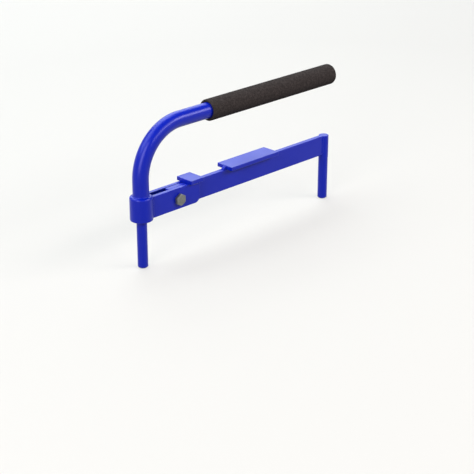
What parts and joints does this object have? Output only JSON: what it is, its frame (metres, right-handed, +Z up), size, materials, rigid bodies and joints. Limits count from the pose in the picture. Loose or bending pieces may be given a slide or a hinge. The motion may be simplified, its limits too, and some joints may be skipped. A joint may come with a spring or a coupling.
{
  "type": "block laying tongs",
  "caption": "Welded steel lifting tongs for concrete blocks: a flat bar with a fixed gripping pin, and a pivoting bent handle with a foam grip whose own pin swings in to clamp.",
  "frame": {"origin": "on the fixed pin's axis, level with the top of a block that the tongs are seated in", "axes": "+X along the bar from the handle's end to the fixed pin and on, +Y to the nut's side of the pivot, +Z up"},
  "size_m": [0.3343, 0.0338, 0.1794],
  "materials": {
    "blue_paint": "satin powder coat",
    "foam": "matte foam",
    "zinc": "zinc plated",
    "nylon": "matte"
  },
  "bodies": {
    "bar": {"main_bar": "blue_paint", "rest_plate": "blue_paint", "rest_plate_welds": "blue_paint", "fixed_pin": "blue_paint", "fixed_pin_welds": "blue_paint"},
    "handle_arm": {"handle_tube": "blue_paint", "grip_sleeve": "foam", "collar": "blue_paint", "handle_weld": "blue_paint", "handle_pin": "blue_paint", "handle_pin_weld": "blue_paint", "near_fork_plate": "blue_paint", "far_fork_plate": "blue_paint", "fork_welds": "blue_paint", "stop_plate": "blue_paint", "stop_plate_welds": "blue_paint", "pivot_bolt": "zinc", "pivot_washer": "zinc", "lock_nut": "zinc", "lock_nut_insert": "nylon"}
  },
  "joints": [
    {"name": "handle_pivot", "type": "hinge", "parent": "bar", "child": "handle_arm", "pos_m": [-0.2612, 0, 0.0226], "axis": [0, -1, 0], "range_deg": [0, 113]}
  ]
}
